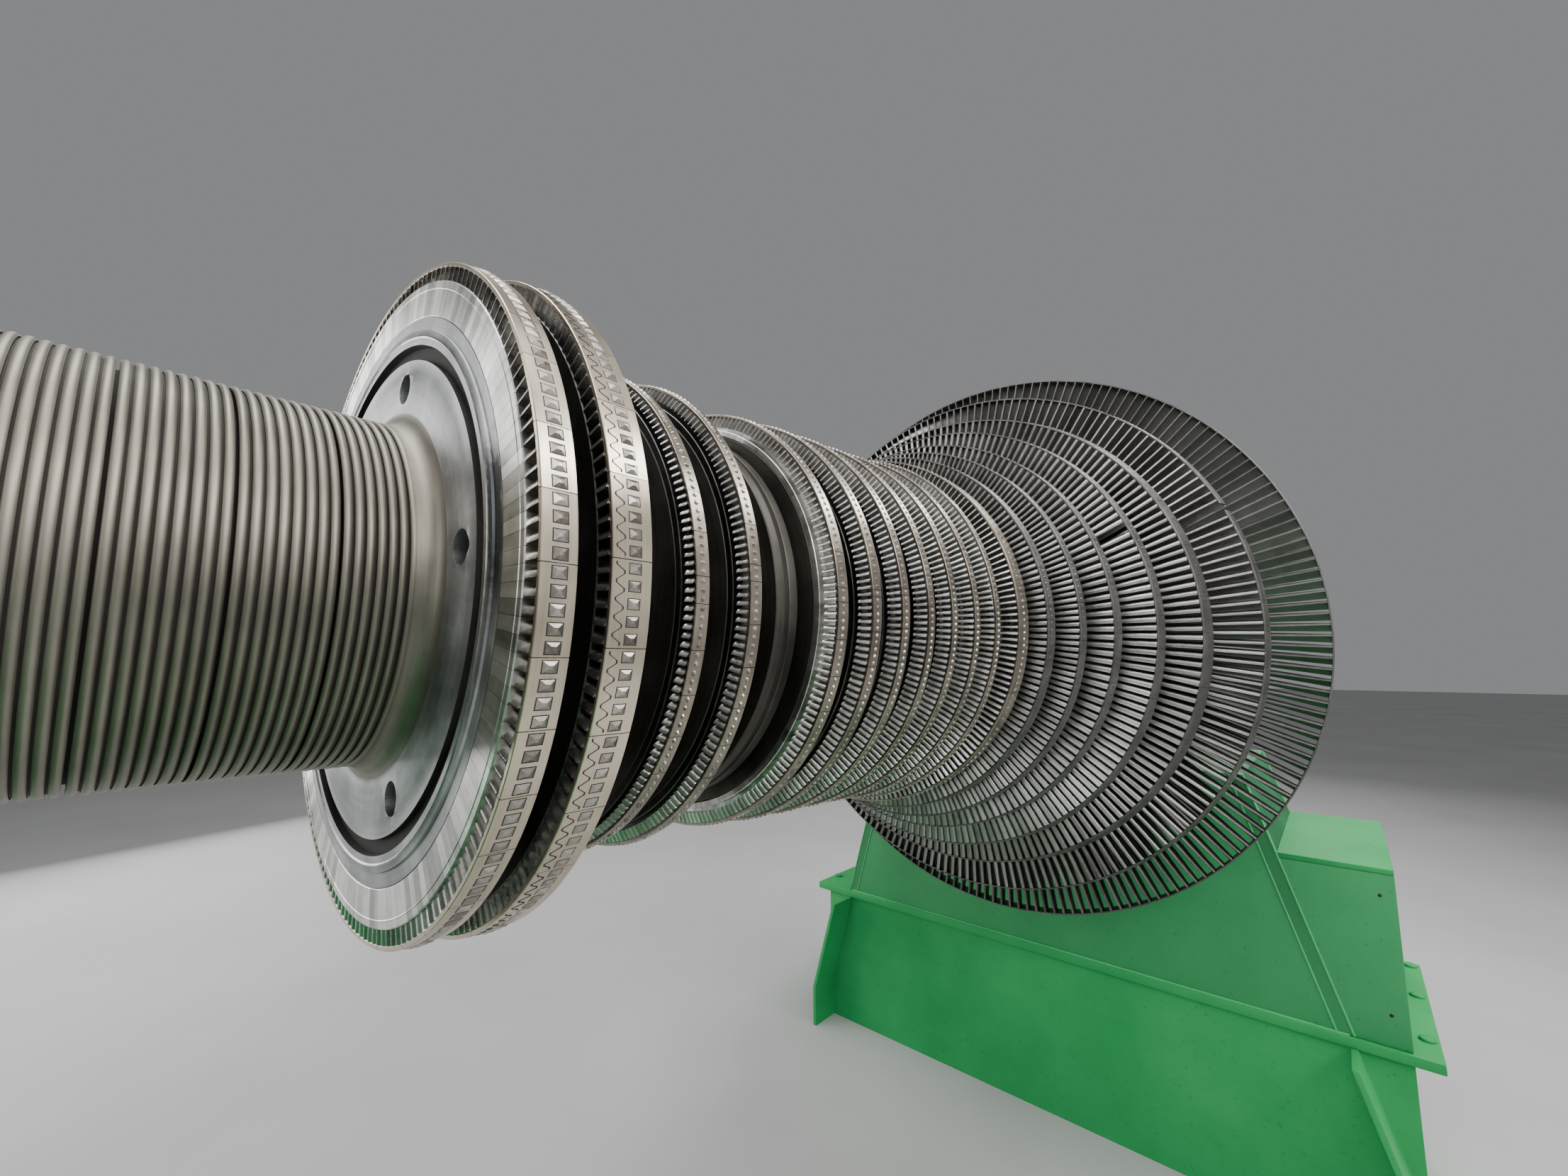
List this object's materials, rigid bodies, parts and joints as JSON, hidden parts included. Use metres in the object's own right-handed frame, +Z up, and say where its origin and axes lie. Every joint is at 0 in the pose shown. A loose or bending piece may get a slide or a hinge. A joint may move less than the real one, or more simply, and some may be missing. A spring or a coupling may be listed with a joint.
{
  "type": "steam turbine rotor on bearing pedestals",
  "caption": "Multi-stage steam turbine rotor with shrouded blade rows growing towards the exhaust end, lying in half bearings on green fabricated pedestals.",
  "frame": {"origin": "on the floor, under the middle of the rotor's length", "axes": "+X along the rotor from the gland end to the exhaust end, +Y away from the side with the pedestal shelves, +Z up"},
  "size_m": [3.92, 1.83, 2.3],
  "materials": {
    "forged_steel": "dull blasted forged steel with light brown staining",
    "blade_steel": "dark grey blade steel with bright worn edges",
    "band_steel": "warm brushed steel band with riveted tenons",
    "green_paint": "mid green machinery paint, satin",
    "machined_steel": "machined grey steel",
    "bearing_metal": "pale soft bearing metal"
  },
  "bodies": {
    "stand": {"exhaust_base": "green_paint", "exhaust_flange_plate": "green_paint", "exhaust_front_plate": "green_paint", "exhaust_rear_plate": "green_paint", "exhaust_casing": "green_paint", "exhaust_shelf": "green_paint", "exhaust_side_wall": "green_paint", "exhaust_bearing_block": "machined_steel", "exhaust_bearing_liner": "bearing_metal", "gland_base": "green_paint", "gland_flange_plate": "green_paint", "gland_front_plate": "green_paint", "gland_rear_plate": "green_paint", "gland_casing": "green_paint", "gland_shelf": "green_paint", "gland_side_wall": "green_paint", "gland_bearing_block": "machined_steel", "gland_bearing_liner": "bearing_metal"},
    "rotor": {"rotor_forging": "forged_steel", "blade_row_01": "blade_steel", "blade_row_02": "blade_steel", "blade_row_03": "blade_steel", "blade_row_04": "blade_steel", "blade_row_05": "blade_steel", "blade_row_06": "blade_steel", "blade_row_07": "blade_steel", "blade_row_08": "blade_steel", "blade_row_09": "blade_steel", "blade_row_10": "blade_steel", "blade_row_11": "blade_steel", "blade_row_12": "blade_steel", "blade_row_13": "blade_steel", "blade_row_14": "blade_steel", "blade_row_15": "blade_steel", "blade_row_16": "blade_steel", "blade_row_17": "blade_steel", "blade_row_18": "blade_steel", "blade_row_19": "blade_steel", "shroud_band_01": "band_steel", "shroud_band_02": "band_steel"}
  },
  "joints": [
    {"name": "rotor_spin", "type": "hinge", "parent": "stand", "child": "rotor", "pos_m": [0, 0, 1.5], "axis": [1, 0, 0], "continuous": true}
  ]
}
